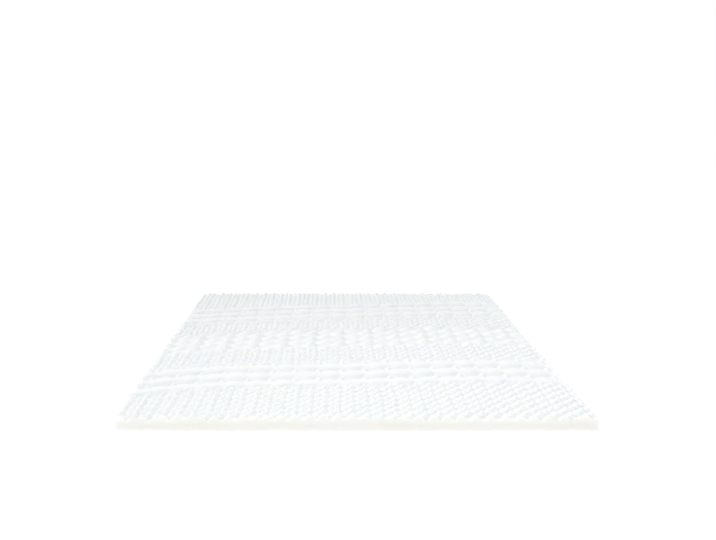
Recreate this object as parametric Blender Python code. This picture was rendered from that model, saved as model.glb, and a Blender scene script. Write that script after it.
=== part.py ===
"""Convoluted foam mattress topper: one sheet, flat underneath, with seven relief zones on top.

Metres, +Z up. The foot end is at -Y, the head end at +Y and the width lies along X.
The origin is on the flat underside, at the middle of the sheet.
"""

import math

import bmesh
import bpy
from mathutils import Vector

# The sheet.
WIDTH = 1.372
LENGTH = 1.905
THICKNESS = 0.0508
BASE = 0.0260

# The relief runs past both ends before the sheet is cut to size.
RUN_OUT = 0.180

# How far the rows of relief drift towards the foot end, for each power of the place across the
# width, which goes from -1 on the left edge to +1 on the right edge. The twist is added at the
# head end, and taken away at the foot end.
ROW_BOW = {1: -0.081, 2: -0.019, 3: 0.013, 4: 0.085}
ROW_TWIST = {1: -0.041, 3: 0.029}

# One repeat of each relief. "columns" and "rows" are where its points stand, as shares of the
# repeat across and along the sheet. "heights" has a line for each row, from 0 at the deepest
# dimple to 1 at the tallest peak.
RELIEFS = {
    "egg_crate": {
        "columns": (0.0, 0.5),
        "rows": (0.0, 0.5),
        "heights": (
            (0.0, 1.0),
            (0.94, 0.0),
        ),
    },
    "blocks": {
        "columns": (0.0, 0.24, 0.76),
        "rows": (0.0, 0.28, 0.72),
        "heights": (
            (0.35, 0.05, 0.05),
            (0.40, 0.96, 0.96),
            (0.40, 0.96, 0.96),
        ),
    },
    "diamonds": {
        "columns": (0.0, 0.25, 0.5, 0.75),
        "rows": (0.0, 0.25, 0.5, 0.75),
        "heights": (
            (1.00, 0.45, 0.10, 0.45),
            (0.45, 0.50, 0.45, 0.50),
            (0.10, 0.45, 0.85, 0.45),
            (0.45, 0.50, 0.45, 0.50),
        ),
    },
}

# How wide one repeat of each relief is, and how long.
REPEATS = {
    "egg_crate": {"wide": 0.0408, "long": 0.0485},
    "blocks": {"wide": 0.0765, "long": 0.1010},
    "diamonds": {"wide": 0.1068, "long": 0.0880},
}

# The zones from the foot end to the head end. "start" and "row", where a repeat begins, are
# measured from the foot end. "phase" is the share of a repeat that the left edge cuts off.
ZONES = (
    {"name": "foot", "relief": "egg_crate", "start": -RUN_OUT, "row": 0.029, "phase": 0.65},
    {"name": "calf", "relief": "blocks", "start": 0.322, "row": 0.397, "phase": 0.50},
    {"name": "knee", "relief": "egg_crate", "start": 0.631, "row": 0.642, "phase": 0.65},
    {"name": "hip", "relief": "diamonds", "start": 0.825, "row": 0.879, "phase": 0.69},
    {"name": "waist", "relief": "egg_crate", "start": 1.130, "row": 1.142, "phase": 0.65},
    {"name": "shoulder", "relief": "blocks", "start": 1.290, "row": 1.322, "phase": 0.96},
    {"name": "head", "relief": "egg_crate", "start": 1.600, "row": 1.612, "phase": 0.65},
)

# Rows nearer than this to the start of the next zone are left out.
LEAST_ROW_GAP = 0.012

FOAM_COLOUR = (0.93, 0.945, 0.94, 1.0)
FOAM_ROUGHNESS = 0.95


def clear_scene():
    """Remove whatever the scene holds."""
    for old in list(bpy.data.objects):
        bpy.data.objects.remove(old, do_unlink=True)


def foam_material():
    """Return the matt near-white foam."""
    material = bpy.data.materials.new("foam")
    material.use_nodes = True
    shader = material.node_tree.nodes["Principled BSDF"]
    shader.inputs["Base Color"].default_value = FOAM_COLOUR
    shader.inputs["Roughness"].default_value = FOAM_ROUGHNESS
    shader.inputs["Metallic"].default_value = 0.0
    return material


def row_drift(x, along):
    """Return how far a row lies towards the foot end at x."""
    across = 2.0 * x / WIDTH
    turn = 2.0 * along / LENGTH - 1.0
    bow = sum(size * across ** power for power, size in ROW_BOW.items())
    return bow + turn * sum(size * across ** power for power, size in ROW_TWIST.items())


def zone_row(zone, along, heights):
    """Return one row of points, a list of (x, y, z) that starts and ends past the edges."""
    columns = RELIEFS[zone["relief"]]["columns"]
    wide = REPEATS[zone["relief"]]["wide"]
    count = (math.ceil(WIDTH / wide) + 1) * len(columns)
    points = []
    for index in range(count + 1):
        turn, column = divmod(index, len(columns))
        x = (turn + columns[column] - zone["phase"]) * wide - WIDTH / 2
        y = along - LENGTH / 2 - row_drift(x, along)
        points.append((x, y, BASE + heights[column] * (THICKNESS - BASE)))
    return points


def zone_rows(zone, end):
    """Return the rows of points of one zone, foot end first."""
    relief = RELIEFS[zone["relief"]]
    long = REPEATS[zone["relief"]]["long"]
    rows = []
    repeat = math.floor((zone["start"] - zone["row"]) / long)
    while zone["row"] + repeat * long < end:
        for share, heights in zip(relief["rows"], relief["heights"]):
            along = zone["row"] + (repeat + share) * long
            if zone["start"] <= along < end - LEAST_ROW_GAP:
                rows.append(zone_row(zone, along, heights))
        repeat += 1
    return rows


def relief_rows():
    """Return the rows of all zones, from past the foot end to past the head end."""
    ends = [zone["start"] for zone in ZONES[1:]] + [LENGTH + RUN_OUT]
    rows = []
    for zone, end in zip(ZONES, ends):
        rows.extend(zone_rows(zone, end))
    return rows


def bridge_rows(mesh, near, far):
    """Fill the strip between two rows of vertices, which may have different counts.

    In a strip of equal rows each square is split along its lower diagonal, so that peaks
    stand apart. Otherwise the strip steps along whichever row lags behind.
    """
    equal = len(near) == len(far)
    i = 0
    j = 0
    while i < len(near) - 1 or j < len(far) - 1:
        if equal:
            a, b, c, d = near[i], near[i + 1], far[i + 1], far[i]
            if a.co.z + c.co.z < b.co.z + d.co.z:
                mesh.faces.new((a, b, c))
                mesh.faces.new((a, c, d))
            else:
                mesh.faces.new((a, b, d))
                mesh.faces.new((b, c, d))
            i += 1
            j += 1
        elif j == len(far) - 1 or (i < len(near) - 1 and near[i + 1].co.x <= far[j + 1].co.x):
            mesh.faces.new((near[i], near[i + 1], far[j]))
            i += 1
        else:
            mesh.faces.new((near[i], far[j + 1], far[j]))
            j += 1


def relief_sheet():
    """Return a closed sheet with the whole relief on top, larger than the finished one."""
    mesh = bmesh.new()
    rows = [[mesh.verts.new(point) for point in row] for row in relief_rows()]
    for near, far in zip(rows, rows[1:]):
        bridge_rows(mesh, near, far)
    left = [row[0] for row in rows]
    right = [row[-1] for row in rows]
    rim = rows[0] + right[1:] + rows[-1][-2::-1] + left[-2:0:-1]
    foot = [mesh.verts.new((point.co.x, point.co.y, 0.0)) for point in rim]
    for index, point in enumerate(rim):
        following = (index + 1) % len(rim)
        mesh.faces.new((point, foot[index], foot[following], rim[following]))
    mesh.faces.new(foot[::-1])
    return mesh


def cut_to_size(mesh):
    """Slice both ends and both sides off square and close them."""
    for half, axis in ((LENGTH / 2, Vector((0, 1, 0))), (WIDTH / 2, Vector((1, 0, 0)))):
        for side in (-1.0, 1.0):
            cut = bmesh.ops.bisect_plane(
                mesh,
                geom=mesh.verts[:] + mesh.edges[:] + mesh.faces[:],
                dist=1e-6,
                plane_co=axis * half * side,
                plane_no=axis * side,
                clear_outer=True,
            )
            rim = [item for item in cut["geom_cut"] if isinstance(item, bmesh.types.BMEdge)]
            bmesh.ops.contextual_create(mesh, geom=rim)


def build_topper():
    """Make the topper, triangulated and facing outwards."""
    mesh = relief_sheet()
    cut_to_size(mesh)
    bmesh.ops.remove_doubles(mesh, verts=mesh.verts[:], dist=1e-5)
    bmesh.ops.triangulate(mesh, faces=mesh.faces[:])
    bmesh.ops.recalc_face_normals(mesh, faces=mesh.faces[:])
    data = bpy.data.meshes.new("foam_topper")
    mesh.to_mesh(data)
    mesh.free()
    data.materials.append(foam_material())
    topper = bpy.data.objects.new("foam_topper", data)
    bpy.context.scene.collection.objects.link(topper)
    return topper


clear_scene()
build_topper()
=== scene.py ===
"""Looks of the convoluted foam mattress topper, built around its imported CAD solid.

One sheet of open-cell foam lies flat on its smooth side. Its top is a relief in seven bands
across the width: small egg-crate peaks at the foot, knee, waist and head, large rounded blocks
under the calves and the shoulders, and big staggered peaks under the hips. All sizes are in
metres, and +Z points up from the underside.
"""

import logging
import math
from dataclasses import dataclass
from enum import Enum

import bpy
import numpy as np
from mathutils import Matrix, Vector


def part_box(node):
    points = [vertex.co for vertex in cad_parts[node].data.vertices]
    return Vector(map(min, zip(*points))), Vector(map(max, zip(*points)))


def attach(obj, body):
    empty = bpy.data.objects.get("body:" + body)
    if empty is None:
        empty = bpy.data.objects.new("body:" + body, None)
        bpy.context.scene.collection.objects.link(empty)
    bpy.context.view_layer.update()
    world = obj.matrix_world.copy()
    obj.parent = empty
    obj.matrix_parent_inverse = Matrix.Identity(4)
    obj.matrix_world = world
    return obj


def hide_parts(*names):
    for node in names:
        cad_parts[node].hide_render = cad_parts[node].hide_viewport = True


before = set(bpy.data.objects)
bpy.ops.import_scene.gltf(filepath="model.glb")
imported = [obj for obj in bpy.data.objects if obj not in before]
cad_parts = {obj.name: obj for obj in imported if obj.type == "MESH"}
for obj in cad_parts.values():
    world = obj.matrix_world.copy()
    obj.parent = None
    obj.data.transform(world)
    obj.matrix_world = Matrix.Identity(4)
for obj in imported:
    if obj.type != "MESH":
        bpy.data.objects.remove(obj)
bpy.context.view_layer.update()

NODE = "foam_topper"
BODY = "root"

WHITE = (1.0, 1.0, 1.0, 1.0)

# The colour sockets of a Mix node, which share their names with its number sockets.
MIX_FIRST = 6
MIX_SECOND = 7
MIX_RESULT = 2

# The sockets of a Mix Shader node, which share one name.
SHADER_FIRST = 1
SHADER_SECOND = 2

LOG = logging.getLogger("topper")


def smooth_step(value: np.ndarray, low: float, high: float) -> np.ndarray:
    """Ramp from 0 at low to 1 at high with level ends: t * t * (3 - 2 t).

    Args:
        value: where the ramp is read.
        low: where it leaves 0.
        high: where it reaches 1.

    Returns:
        The ramp, in the shape of value.
    """
    t = np.clip((value - low) / (high - low), 0.0, 1.0)
    return t * t * (3.0 - 2.0 * t)


def show(thing: bpy.types.Object) -> None:
    """Put an object into the scene."""
    bpy.context.scene.collection.objects.link(thing)


@dataclass(frozen=True)
class Wander:
    """How a size strays over the sheet: a sum of sine waves in seeded directions.

    Attributes:
        amount: about how far it strays.
        wavelength: the typical distance from one swell to the next.
        seed: picks the waves.
        waves: how many waves there are.
        spread: the shortest and the longest wave, as shares of the wavelength.
    """

    amount: float
    wavelength: float
    seed: int
    waves: int = 7
    spread: tuple[float, float] = (0.6, 1.6)

    def at(self, x: np.ndarray, y: np.ndarray) -> np.ndarray:
        """Sum of the sines over the root of their number, times the amount.

        Args:
            x: places across.
            y: places along.

        Returns:
            How far the size strays at each place.
        """
        draw = np.random.default_rng(self.seed)
        angles = draw.uniform(0.0, math.pi, self.waves)
        lengths = self.wavelength * draw.uniform(*self.spread, self.waves)
        phases = draw.uniform(0.0, 2.0 * math.pi, self.waves)
        total = np.zeros(np.broadcast(x, y).shape)
        for angle, length, phase in zip(angles, lengths, phases):
            along = x * math.cos(angle) + y * math.sin(angle)
            total = total + np.sin(2.0 * math.pi * along / length + phase)
        return self.amount * (total / math.sqrt(self.waves))


class Relief(Enum):
    """The three cutting patterns of the convoluting rollers."""

    EGG_CRATE = "egg crate"
    BLOCKS = "blocks"
    DIAMONDS = "diamonds"


@dataclass(frozen=True)
class Pattern:
    """One cutting pattern, which repeats across and along.

    Heights go from 0 at the base of the relief to 1 at its top. The sheet levels what goes past
    either.

    Attributes:
        wide: size of a repeat across the sheet.
        long: size of a repeat along the sheet.
        steps: rows of the grid along one repeat.
    """

    wide: float
    long: float
    steps: int

    def height(self, u: np.ndarray, v: np.ndarray) -> np.ndarray:
        """Height of the pattern, which each kind of pattern works out in its own way.

        Args:
            u: repeats across, from the left edge.
            v: repeats along, from the start of a repeat.

        Returns:
            The height at each place.
        """
        raise NotImplementedError


@dataclass(frozen=True)
class EggCrate(Pattern):
    """Small relief: peaks at whole u and v and at both halves, and dimples between them.

    Attributes:
        squeeze: how much the peaks and dimples are rounded.
        middle: height halfway up a peak.
        swing: from there to a peak or a dimple.
        lift: how much higher every second row of peaks is, and how much lower the others are.
    """

    squeeze: float = 1.15
    middle: float = 0.465
    swing: float = 0.455
    lift: float = 0.08

    def height(self, u: np.ndarray, v: np.ndarray) -> np.ndarray:
        """Product of a cosine each way, rounded by a hyperbolic tangent, and the lift's cosine.

        Args:
            u: repeats across, from the left edge.
            v: repeats along, from the start of a repeat.

        Returns:
            The height at each place.
        """
        wave = np.cos(2.0 * math.pi * u) * np.cos(2.0 * math.pi * v)
        rounded = np.tanh(self.squeeze * wave) / math.tanh(self.squeeze)
        return self.middle + self.swing * rounded + self.lift * np.cos(2.0 * math.pi * v)


@dataclass(frozen=True)
class Blocks(Pattern):
    """Large relief: soft blocks in straight rows, with a peg where four of them meet.

    A groove runs across at whole v, and a shallower gap parts two blocks of a row at whole u.

    Attributes:
        floor: height of the bottom of the grooves.
        wall: where a block's wall starts and ends, from the middle of the groove.
        crown: share of a block's height that it gains beyond its wall, towards its middle.
        crown_rise: where that gain starts and ends, from the middle of the groove.
        corner: how far along the groove a corner is rounded, from the middle of the gap.
        corner_cut: how far a corner lies back from the groove.
        lip: share of its height that a block gains at the lip of the gap.
        lip_end: where that gain ends, from the middle of the gap.
        swell: share of its height that a block gains from the gap to its middle.
        swell_end: where that gain ends, from the middle of the gap.
        peg_height: height of a peg beside a block's.
        peg_across: reach of a peg across the sheet.
        peg_along: reach of a peg along the sheet.
    """

    floor: float = 0.14
    wall: tuple[float, float] = (0.003, 0.026)
    crown: float = 0.12
    crown_rise: tuple[float, float] = (0.02, 0.05)
    corner: float = 0.020
    corner_cut: float = 0.011
    lip: float = 0.12
    lip_end: float = 0.024
    swell: float = 0.08
    swell_end: float = 0.038
    peg_height: float = 0.92
    peg_across: float = 0.011
    peg_along: float = 0.017

    def height(self, u: np.ndarray, v: np.ndarray) -> np.ndarray:
        """The higher of the blocks and the pegs, over the bottom of the grooves.

        Along, a smooth step rises out of the groove, later at the corners, and a second one
        crowns the block. Across, a smooth step and a square of the distance rise out of the gap.
        The two are multiplied. A peg is an exponential of minus the squares of both distances.

        Args:
            u: repeats across, from the left edge.
            v: repeats along, from the start of a repeat.

        Returns:
            The height at each place.
        """
        from_gap = np.abs(u - np.round(u)) * self.wide
        from_groove = np.abs(v - np.round(v)) * self.long
        corner = np.exp(-((from_gap / self.corner) ** 2))
        row = smooth_step(from_groove - self.corner_cut * corner, *self.wall)
        row = row * (1.0 - self.crown + self.crown * smooth_step(from_groove, *self.crown_rise))
        lip = self.lip * smooth_step(from_gap, 0.0, self.lip_end)
        swell = self.swell * (from_gap / self.swell_end) ** 2
        block = row * (1.0 - self.lip - self.swell + lip + swell)
        peg = np.exp(-((from_gap / self.peg_across) ** 2) - (from_groove / self.peg_along) ** 2)
        return self.floor + (1.0 - self.floor) * np.maximum(block, self.peg_height * peg)


@dataclass(frozen=True)
class Diamonds(Pattern):
    """Hip relief: a tall peak at whole u and v, and a lower one at both halves.

    Attributes:
        floor: height of the pits.
        tall_reach: how broad a tall peak is.
        low_reach: how broad a lower peak is.
        low_height: height of a lower peak beside a tall one's.
    """

    floor: float = 0.06
    tall_reach: float = 0.0215
    low_reach: float = 0.0235
    low_height: float = 0.71

    def peaks(self, u: np.ndarray, v: np.ndarray, shift: float, reach: float) -> np.ndarray:
        """Exponential of minus the squared distance to the nearest peak over the squared reach.

        Args:
            u: repeats across.
            v: repeats along.
            shift: where in a repeat the peak stands, both ways.
            reach: how broad the peak is.

        Returns:
            From 0 to 1 on a peak, at each place.
        """
        across = (u - shift - np.round(u - shift)) * self.wide
        along = (v - shift - np.round(v - shift)) * self.long
        return np.exp(-(across**2 + along**2) / reach**2)

    def height(self, u: np.ndarray, v: np.ndarray) -> np.ndarray:
        """Both kinds of peaks, joined as a + b - a b, which leaves no crease between them.

        Args:
            u: repeats across, from the left edge.
            v: repeats along, from the start of a repeat.

        Returns:
            The height at each place.
        """
        tall = self.peaks(u, v, 0.0, self.tall_reach)
        low = self.low_height * self.peaks(u, v, 0.5, self.low_reach)
        return self.floor + (1.0 - self.floor) * (tall + low - tall * low)


PATTERNS: dict[Relief, Pattern] = {
    Relief.EGG_CRATE: EggCrate(wide=0.0413, long=0.0485, steps=8),
    Relief.BLOCKS: Blocks(wide=0.0769, long=0.1010, steps=16),
    Relief.DIAMONDS: Diamonds(wide=0.1074, long=0.0880, steps=15),
}


@dataclass(frozen=True)
class Zone:
    """One band of relief across the sheet.

    Attributes:
        name: what lies on the band.
        relief: the pattern cut into it.
        start: where the band begins, from the foot end along the middle.
        row: a place along the sheet where a repeat begins.
        phase: how much of a repeat the left edge cuts off.
    """

    name: str
    relief: Relief
    start: float
    row: float
    phase: float


# Name, relief, start, row and phase of each band, from the foot end to the head end. The foot
# band starts well before the sheet does, because the bow brings earlier rows onto it.
ZONES = (
    Zone("foot", Relief.EGG_CRATE, -0.200, 0.060, 0.61),
    Zone("calf", Relief.BLOCKS, 0.322, 0.403, 0.54),
    Zone("knee", Relief.EGG_CRATE, 0.631, 0.674, 0.59),
    Zone("hip", Relief.DIAMONDS, 0.825, 0.895, 0.95),
    Zone("waist", Relief.EGG_CRATE, 1.130, 1.174, 0.59),
    Zone("shoulder", Relief.BLOCKS, 1.290, 1.333, 0.04),
    Zone("head", Relief.EGG_CRATE, 1.600, 1.623, 0.83),
)

# How far the rows lie towards the foot end, for each power of the place across the width, which
# goes from -1 on the left edge to +1 on the right edge. The twist is added at the head end, and
# taken away at the foot end.
ROW_BOW = {1: -0.081, 2: -0.019, 3: 0.013, 4: 0.085}
ROW_TWIST = {1: -0.041, 3: 0.029}


@dataclass(frozen=True)
class FoamFinish:
    """Open-cell foam as a procedural material.

    Attributes:
        name: the material's name.
        colour: the foam's own colour.
        deep: the colour of its slightly dirtier patches.
        patch: how often the patches change, per metre.
        patch_detail: how ragged the patches are.
        patch_edge: where a patch's colour starts and ends to change, in the noise.
        pore: how many pores there are per metre.
        pore_painted_shade: how light the middle of a pore is painted beside its rim, a painted
            shade in the pore's hollow.
        pore_reach: how far the painted shade, and with it the dip of the bump, reaches, in pores.
        pore_depth: how deep the pores look.
        pore_bump: how strongly they turn the light.
        pores_per_swell: how many pores long a swell of the cut surface is.
        swell_detail: how ragged the swells are.
        swell_depth: how strongly the cut surface undulates.
        swell_bump: how strongly the swells turn the light.
        roughness: of the cell walls.
        gloss: how much the cell walls mirror.
        fuzz: how much light the loose cell ends catch at a low angle.
        fuzz_roughness: of those cell ends.
        glow: how much of the light passes through the cells.
        glow_depth: how deep it passes.
        glow_reach: how far red, green and blue pass, as shares of that depth.
    """

    name: str
    colour: tuple[float, float, float]
    deep: tuple[float, float, float]
    patch: float = 7.0
    patch_detail: float = 3.0
    patch_edge: tuple[float, float] = (0.30, 0.62)
    pore: float = 620.0
    pore_painted_shade: float = 0.92
    pore_reach: float = 0.55
    pore_depth: float = 0.0009
    pore_bump: float = 0.55
    pores_per_swell: float = 9.0
    swell_detail: float = 4.0
    swell_depth: float = 0.0012
    swell_bump: float = 0.35
    roughness: float = 0.92
    gloss: float = 0.25
    fuzz: float = 0.12
    fuzz_roughness: float = 0.6
    glow: float = 0.9
    glow_depth: float = 0.011
    glow_reach: tuple[float, float, float] = (1.0, 0.95, 0.85)

    def set_surface(self, shader: bpy.types.Node) -> None:
        """Set how the foam takes the light, apart from its colour.

        Args:
            shader: the material's shader.
        """
        shader.inputs["Roughness"].default_value = self.roughness
        shader.inputs["Specular IOR Level"].default_value = self.gloss
        shader.inputs["Sheen Weight"].default_value = self.fuzz
        shader.inputs["Sheen Roughness"].default_value = self.fuzz_roughness
        shader.subsurface_method = "RANDOM_WALK"
        shader.inputs["Subsurface Weight"].default_value = self.glow
        shader.inputs["Subsurface Radius"].default_value = self.glow_reach
        shader.inputs["Subsurface Scale"].default_value = self.glow_depth

    def add_patches(self, tree: bpy.types.NodeTree, place: bpy.types.Node) -> bpy.types.Node:
        """Let the colour wander between clean and slightly dirtier patches.

        Args:
            tree: the material's nodes.
            place: the node that gives the places on the piece.

        Returns:
            The node whose Color is the patchy colour.
        """
        patches = tree.nodes.new("ShaderNodeTexNoise")
        patches.inputs["Scale"].default_value = self.patch
        patches.inputs["Detail"].default_value = self.patch_detail
        tree.links.new(place.outputs["Object"], patches.inputs["Vector"])
        tint = tree.nodes.new("ShaderNodeValToRGB")
        ends = tint.color_ramp.elements
        for end, position, colour in zip(ends, self.patch_edge, (self.deep, self.colour)):
            end.position = position
            end.color = (*colour, 1.0)
        tree.links.new(patches.outputs["Fac"], tint.inputs["Fac"])
        return tint

    def add_pores_and_painted_shade(self, tree: bpy.types.NodeTree, place: bpy.types.Node) -> bpy.types.Node:
        """Scatter pores over the foam, with painted shade that makes them darker in the middle
        than at their rims.

        Args:
            tree: the material's nodes.
            place: the node that gives the places on the piece.

        Returns:
            The node whose Result goes from the pore's painted shade to 1 on the rims.
        """
        pores = tree.nodes.new("ShaderNodeTexVoronoi")
        pores.inputs["Scale"].default_value = self.pore
        pores.inputs["Randomness"].default_value = 1.0
        tree.links.new(place.outputs["Object"], pores.inputs["Vector"])
        rims = tree.nodes.new("ShaderNodeMapRange")
        rims.inputs["From Min"].default_value = 0.0
        rims.inputs["From Max"].default_value = self.pore_reach
        rims.inputs["To Min"].default_value = self.pore_painted_shade
        rims.inputs["To Max"].default_value = 1.0
        tree.links.new(pores.outputs["Distance"], rims.inputs["Value"])
        return rims

    def add_bump(
        self, tree: bpy.types.NodeTree, place: bpy.types.Node, rims: bpy.types.Node
    ) -> bpy.types.Node:
        """Raise the swells of the cut surface, and the rims of the pores on top of them.

        Args:
            tree: the material's nodes.
            place: the node that gives the places on the piece.
            rims: the node that gives the rims of the pores.

        Returns:
            The node whose Normal carries both.
        """
        swell = tree.nodes.new("ShaderNodeTexNoise")
        swell.inputs["Scale"].default_value = self.pore / self.pores_per_swell
        swell.inputs["Detail"].default_value = self.swell_detail
        tree.links.new(place.outputs["Object"], swell.inputs["Vector"])
        broad = tree.nodes.new("ShaderNodeBump")
        broad.inputs["Distance"].default_value = self.swell_depth
        broad.inputs["Strength"].default_value = self.swell_bump
        tree.links.new(swell.outputs["Fac"], broad.inputs["Height"])
        fine = tree.nodes.new("ShaderNodeBump")
        fine.inputs["Distance"].default_value = self.pore_depth
        fine.inputs["Strength"].default_value = self.pore_bump
        tree.links.new(rims.outputs["Result"], fine.inputs["Height"])
        tree.links.new(broad.outputs["Normal"], fine.inputs["Normal"])
        return fine

    def build(self) -> bpy.types.Material:
        """Make the node tree: patchy colour, painted shade in the pores, and two scales of bump.

        Returns:
            The finished material.
        """
        material = bpy.data.materials.new(self.name)
        material.use_nodes = True
        tree = material.node_tree
        shader = tree.nodes["Principled BSDF"]
        self.set_surface(shader)
        place = tree.nodes.new("ShaderNodeTexCoord")
        tint = self.add_patches(tree, place)
        rims = self.add_pores_and_painted_shade(tree, place)
        # Painted shade: the darker middles of the pores are multiplied into the foam's colour.
        shade = tree.nodes.new("ShaderNodeMix")
        shade.data_type = "RGBA"
        shade.blend_type = "MULTIPLY"
        shade.inputs["Factor"].default_value = 1.0
        tree.links.new(tint.outputs["Color"], shade.inputs[MIX_FIRST])
        tree.links.new(rims.outputs["Result"], shade.inputs[MIX_SECOND])
        tree.links.new(shade.outputs[MIX_RESULT], shader.inputs["Base Color"])
        bump = self.add_bump(tree, place, rims)
        tree.links.new(bump.outputs["Normal"], shader.inputs["Normal"])
        return material


TOP_FINISH = FoamFinish(
    name="foam_relief",
    colour=(0.904, 0.944, 0.967),
    deep=(0.889, 0.934, 0.947),
)
CUT_FINISH = FoamFinish(
    name="foam_cut_side",
    colour=(0.852, 0.850, 0.829),
    deep=(0.837, 0.832, 0.804),
)


@dataclass
class Topper:
    """The foam sheet: a relief on top, four straight cut sides and a flat underside.

    Attributes:
        low: lowest corner of the CAD solid.
        high: highest corner of the CAD solid.
        base: foam left under the deepest dimples.
        columns: steps of the grid across the width.
        wall_rings: steps down the cut sides.
        blend: half the width of the change from one band to the next.
        straighten: share of the length over which the grid's rows turn from straight, at either
            end, to the bow.
        stray_along: how the relief strays along the sheet.
        stray_across: how it strays across the sheet.
        stray_depth: how its depth strays, as a share of the depth.
        swell: how the whole top rises and falls.
        corner_slack: how near to a corner of the sheet a point counts as on it.
    """

    low: Vector
    high: Vector
    base: float = 0.0295
    columns: int = 268
    wall_rings: int = 4
    blend: float = 0.007
    straighten: float = 0.16
    stray_along: Wander = Wander(amount=0.0016, wavelength=0.33, seed=3)
    stray_across: Wander = Wander(amount=0.0014, wavelength=0.27, seed=5)
    stray_depth: Wander = Wander(amount=0.035, wavelength=0.12, seed=11)
    swell: Wander = Wander(amount=0.0007, wavelength=0.6, seed=17)
    corner_slack: float = 1e-5

    @property
    def width(self) -> float:
        """Size across."""
        return self.high.x - self.low.x

    @property
    def length(self) -> float:
        """Size along."""
        return self.high.y - self.low.y

    @property
    def relief_depth(self) -> float:
        """Height of the tallest peak over the base, less the amount of the swell."""
        return self.high.z - self.low.z - self.base - self.swell.amount

    def row_drift(self, x: np.ndarray, along: np.ndarray) -> np.ndarray:
        """How far the rows of relief lie towards the foot end: a bow, and a twist along the sheet.

        Each is a sum of powers of the place across. The twist counts fully at the head end, not
        at all at mid length and in reverse at the foot end.

        Args:
            x: places across.
            along: places along, from the foot end.

        Returns:
            The drift at each place.
        """
        s = 2.0 * (x - self.low.x) / self.width - 1.0
        bow = sum(amount * s**power for power, amount in ROW_BOW.items())
        twist = sum(amount * s**power for power, amount in ROW_TWIST.items())
        return bow + (2.0 * along / self.length - 1.0) * twist

    def height(self, x: np.ndarray, y: np.ndarray) -> np.ndarray:
        """Top of the foam: each band's pattern, faded into the next one over a short step.

        Args:
            x: places across.
            y: places along.

        Returns:
            Height above the underside.
        """
        straight = y - self.low.y
        along = straight + self.row_drift(x, straight) + self.stray_along.at(x, y)
        across = x - self.low.x + self.stray_across.at(x, y)
        relief = np.zeros(np.broadcast(x, y).shape)
        for index, zone in enumerate(ZONES):
            share = smooth_step(along, zone.start - self.blend, zone.start + self.blend)
            if index + 1 < len(ZONES):
                end = ZONES[index + 1].start
                share = share * (1.0 - smooth_step(along, end - self.blend, end + self.blend))
            pattern = PATTERNS[zone.relief]
            u = across / pattern.wide + zone.phase
            v = (along - zone.row) / pattern.long
            relief = relief + share * pattern.height(u, v)
        relief = np.clip(relief * (1.0 + self.stray_depth.at(x, y)), 0.0, 1.0)
        return self.base + self.swell.at(x, y) + relief * self.relief_depth

    def grid_rows(self) -> np.ndarray:
        """Places along the middle where the grid has a row: even steps of each band's repeat.

        Returns:
            Rising distances from the foot end, with both ends of the sheet.
        """
        rows = []
        ends = [zone.start for zone in ZONES[1:]] + [self.length]
        for zone, end in zip(ZONES, ends):
            start = max(zone.start, 0.0)
            pattern = PATTERNS[zone.relief]
            count = max(1, round((end - start) * pattern.steps / pattern.long))
            rows.append(start + (end - start) * np.arange(count) / count)
        return np.concatenate(rows + [np.array([self.length])])

    def top_grid(self) -> np.ndarray:
        """Points of the top: rows that follow the drift inside and are straight at both ends.

        Returns:
            Array of rows by columns by 3.
        """
        x = self.low.x + self.width * np.arange(self.columns + 1) / self.columns
        along = self.grid_rows()
        from_end = np.minimum(along, self.length - along)
        free = smooth_step(from_end, 0.0, self.straighten * self.length)
        x, along = np.meshgrid(x, along)
        y = self.low.y + along - self.row_drift(x, along) * free[:, None]
        return np.stack([x, y, self.low.z + self.height(x, y)], axis=-1)

    def rim(self, rows: int, columns: int) -> np.ndarray:
        """Indices of the top's outer points, once round anticlockwise from the near left.

        Args:
            rows: points along.
            columns: points across.

        Returns:
            The indices in the flattened grid.
        """
        near = np.arange(columns - 1)
        right = np.arange(rows - 1) * columns + columns - 1
        far = (rows - 1) * columns + np.arange(columns - 1, 0, -1)
        left = np.arange(rows - 1, 0, -1) * columns
        return np.concatenate([near, right, far, left])

    def wall_points(self, edge: np.ndarray) -> np.ndarray:
        """Points of the cut sides: the top's edge let down to the underside in even steps.

        Args:
            edge: points of the top's edge, once round.

        Returns:
            Array of rings by edge points by 3, the last ring on the underside.
        """
        steps = np.arange(1, self.wall_rings + 1) / self.wall_rings
        rings = np.repeat(edge[None], self.wall_rings, axis=0)
        rings[..., 2] = self.low.z + (edge[None, :, 2] - self.low.z) * (1.0 - steps[:, None])
        return rings

    def build_mesh(self) -> bpy.types.Mesh:
        """Join the top grid, the rings of the cut sides and the underside into a closed mesh.

        Returns:
            The mesh, with material 0 on the relief and 1 on the cut sides and underside.
        """
        grid = self.top_grid()
        rows, columns = grid.shape[:2]
        points = grid.reshape(-1, 3)
        index = np.arange(rows * columns).reshape(rows, columns)
        top = np.stack([index[:-1, :-1], index[:-1, 1:], index[1:, 1:], index[1:, :-1]], axis=-1)
        rim = self.rim(rows, columns)
        rings = self.wall_points(points[rim])
        lower = len(points) + np.arange(self.wall_rings * len(rim)).reshape(self.wall_rings, -1)
        chain = np.concatenate([rim[None], lower])
        following = np.roll(chain, -1, axis=1)
        walls = np.stack([chain[:-1], chain[1:], following[1:], following[:-1]], axis=-1)
        underside = chain[-1][::-1]
        quads = np.concatenate([top.reshape(-1, 4), walls.reshape(-1, 4)])
        every = np.concatenate([points, rings.reshape(-1, 3)])
        mesh = bpy.data.meshes.new(NODE + "_soft")
        mesh.from_pydata(every.tolist(), [], quads.tolist() + [underside.tolist()])
        kinds = np.ones(len(mesh.polygons), dtype=np.int32)
        kinds[: top.shape[0] * top.shape[1]] = 0
        mesh.polygons.foreach_set("material_index", kinds)
        mesh.polygons.foreach_set("use_smooth", np.ones(len(mesh.polygons), dtype=bool))
        self.mark_sharp(mesh, chain)
        mesh.update()
        return mesh

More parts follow.
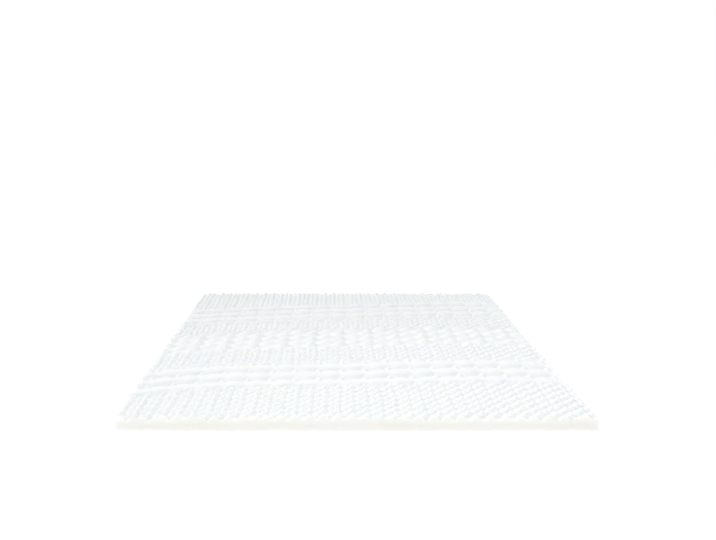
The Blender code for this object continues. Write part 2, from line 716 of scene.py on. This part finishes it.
    def mark_sharp(self, mesh: bpy.types.Mesh, chain: np.ndarray) -> None:
        """Keep the knife-cut edges crisp: the top rim, the bottom rim and the four corners.

        Args:
            mesh: the closed sheet.
            chain: the vertex rings from the top rim to the bottom one.
        """
        ends = np.zeros(len(mesh.edges) * 2, dtype=np.int32)
        mesh.edges.foreach_get("vertices", ends)
        ends = ends.reshape(-1, 2)
        on_rim = np.zeros(len(mesh.vertices), dtype=bool)
        on_rim[chain[0]] = True
        on_foot = np.zeros(len(mesh.vertices), dtype=bool)
        on_foot[chain[-1]] = True
        level = on_rim[ends].all(axis=1) | on_foot[ends].all(axis=1)
        spots = np.zeros(len(mesh.vertices) * 3)
        mesh.vertices.foreach_get("co", spots)
        reach = np.abs(spots.reshape(-1, 3))[:, :2]
        at_corner = (reach > reach.max(axis=0) - self.corner_slack).all(axis=1)
        sharp = mesh.attributes.new("sharp_edge", "BOOLEAN", "EDGE")
        sharp.data.foreach_set("value", level | at_corner[ends].all(axis=1))

    def build(self) -> bpy.types.Object:
        """Make the topper, dress it and put it in the place of its CAD solid.

        Returns:
            The finished piece.
        """
        mesh = self.build_mesh()
        mesh.materials.append(TOP_FINISH.build())
        mesh.materials.append(CUT_FINISH.build())
        piece = bpy.data.objects.new(NODE + "_soft", mesh)
        show(piece)
        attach(piece, BODY)
        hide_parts(NODE)
        return piece


@dataclass
class Studio:
    """Plain white floor, soft light and the camera.

    Attributes:
        low: lowest corner of the topper.
        high: highest corner of the topper.
        distance: from the lens to the foot end, over the floor.
        rise: height of the lens over the top of the foam.
        aside: how far the lens stands left of the middle.
        pitch: how far the lens looks down, in degrees.
        lens: focal length in millimetres.
        sensor: width of the sensor in millimetres.
        shift: sideways shift of the picture, in picture widths.
        sight: how far the camera sees.
        floor_half: half the side of the floor.
        floor_gap: how far the floor lies under the topper.
        floor_grey: how much light the floor gives back.
        floor_glow: how much light it gives of its own, which drowns most of the shadow.
        fill: strength of the light from all round.
        key: strength of the main light.
        key_spread: how broad the main light looks, in degrees.
        key_from: the way to the main light.
        box_size: side of the broad light over the foot end.
        box_height: its height over the floor.
        box_out: how far its middle hangs out from the foot end, towards the camera.
        box_power: its strength in watts.
    """

    low: Vector
    high: Vector
    distance: float = 2.52
    rise: float = 0.817
    aside: float = 0.072
    pitch: float = 9.13
    lens: float = 46.6
    sensor: float = 36.0
    shift: float = 0.0377
    sight: float = 100.0
    floor_half: float = 14.0
    floor_gap: float = 0.0003
    floor_grey: float = 0.9
    floor_glow: float = 0.50
    fill: float = 0.67
    key: float = 0.86
    key_spread: float = 50.0
    key_from: tuple[float, float, float] = (-0.55, 0.40, 0.73)
    box_size: float = 2.4
    box_height: float = 2.2
    box_out: float = 0.3
    box_power: float = 14.0

    @property
    def middle(self) -> float:
        """Place across of the topper's middle."""
        return (self.low.x + self.high.x) / 2.0

    def floor(self) -> bpy.types.Object:
        """Lay a large matt white floor under the topper.

        Returns:
            The floor.
        """
        side = self.floor_half
        level = self.low.z - self.floor_gap
        corners = [(-side, -side), (side, -side), (side, side), (-side, side)]
        mesh = bpy.data.meshes.new("studio_floor")
        mesh.from_pydata([(x, y, level) for x, y in corners], [], [(0, 1, 2, 3)])
        material = bpy.data.materials.new("studio_floor")
        material.use_nodes = True
        shader = material.node_tree.nodes["Principled BSDF"]
        grey = self.floor_grey
        shader.inputs["Base Color"].default_value = (grey, grey, grey, 1.0)
        shader.inputs["Emission Color"].default_value = WHITE
        shader.inputs["Emission Strength"].default_value = self.floor_glow
        shader.inputs["Roughness"].default_value = 1.0
        shader.inputs["Specular IOR Level"].default_value = 0.0
        mesh.materials.append(material)
        floor = bpy.data.objects.new("studio_floor", mesh)
        show(floor)
        return floor

    def sun(self) -> None:
        """Hang the main light: a far, very broad one behind the topper, on its left."""
        data = bpy.data.lights.new("key", "SUN")
        data.energy = self.key
        data.angle = math.radians(self.key_spread)
        lamp = bpy.data.objects.new("key", data)
        lamp.rotation_euler = Vector(self.key_from).to_track_quat("Z", "Y").to_euler()
        show(lamp)

    def soft_box(self) -> None:
        """Hang a broad light over the foot end, so the sheet darkens a little towards its head."""
        data = bpy.data.lights.new("soft_box", "AREA")
        data.shape = "SQUARE"
        data.size = self.box_size
        data.energy = self.box_power
        lamp = bpy.data.objects.new("soft_box", data)
        lamp.location = (self.middle, self.low.y - self.box_out, self.box_height)
        lamp.visible_camera = False
        show(lamp)

    def surroundings(self) -> None:
        """Surround the topper with even light, in front of a backdrop that is plain white."""
        world = bpy.data.worlds.new("studio")
        world.use_nodes = True
        nodes, links = world.node_tree.nodes, world.node_tree.links
        fill = nodes["Background"]
        fill.inputs["Color"].default_value = WHITE
        fill.inputs["Strength"].default_value = self.fill
        backdrop = nodes.new("ShaderNodeBackground")
        backdrop.inputs["Color"].default_value = WHITE
        rays = nodes.new("ShaderNodeLightPath")
        choice = nodes.new("ShaderNodeMixShader")
        links.new(rays.outputs["Is Camera Ray"], choice.inputs["Fac"])
        links.new(fill.outputs["Background"], choice.inputs[SHADER_FIRST])
        links.new(backdrop.outputs["Background"], choice.inputs[SHADER_SECOND])
        links.new(choice.outputs["Shader"], nodes["World Output"].inputs["Surface"])
        bpy.context.scene.world = world

    def camera(self) -> None:
        """Stand the camera at the foot end, looking along the sheet and a little down."""
        data = bpy.data.cameras.new("camera")
        data.lens = self.lens
        data.sensor_width = self.sensor
        data.shift_x = self.shift
        data.clip_end = self.sight
        camera = bpy.data.objects.new("camera", data)
        across = self.middle - self.aside
        camera.location = (across, self.low.y - self.distance, self.high.z + self.rise)
        camera.rotation_euler = (math.radians(90.0 - self.pitch), 0.0, 0.0)
        show(camera)
        bpy.context.scene.camera = camera

    def build(self) -> None:
        """Set up the camera, the floor and the lights, and show light plainly as colour."""
        self.camera()
        self.floor()
        self.surroundings()
        self.sun()
        self.soft_box()
        bpy.context.scene.view_settings.view_transform = "Standard"


def main() -> None:
    """Build the studio and the topper in order, and report each piece."""
    logging.basicConfig(level=logging.INFO, format="%(name)s: %(message)s")
    low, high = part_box(NODE)
    Studio(low, high).build()
    piece = Topper(low, high).build()
    piece.data.calc_loop_triangles()
    LOG.info("%s: %d triangles", piece.name, len(piece.data.loop_triangles))
    LOG.info("bands from the foot end: %s", ", ".join(zone.name for zone in ZONES))


if __name__ == "__main__":
    main()
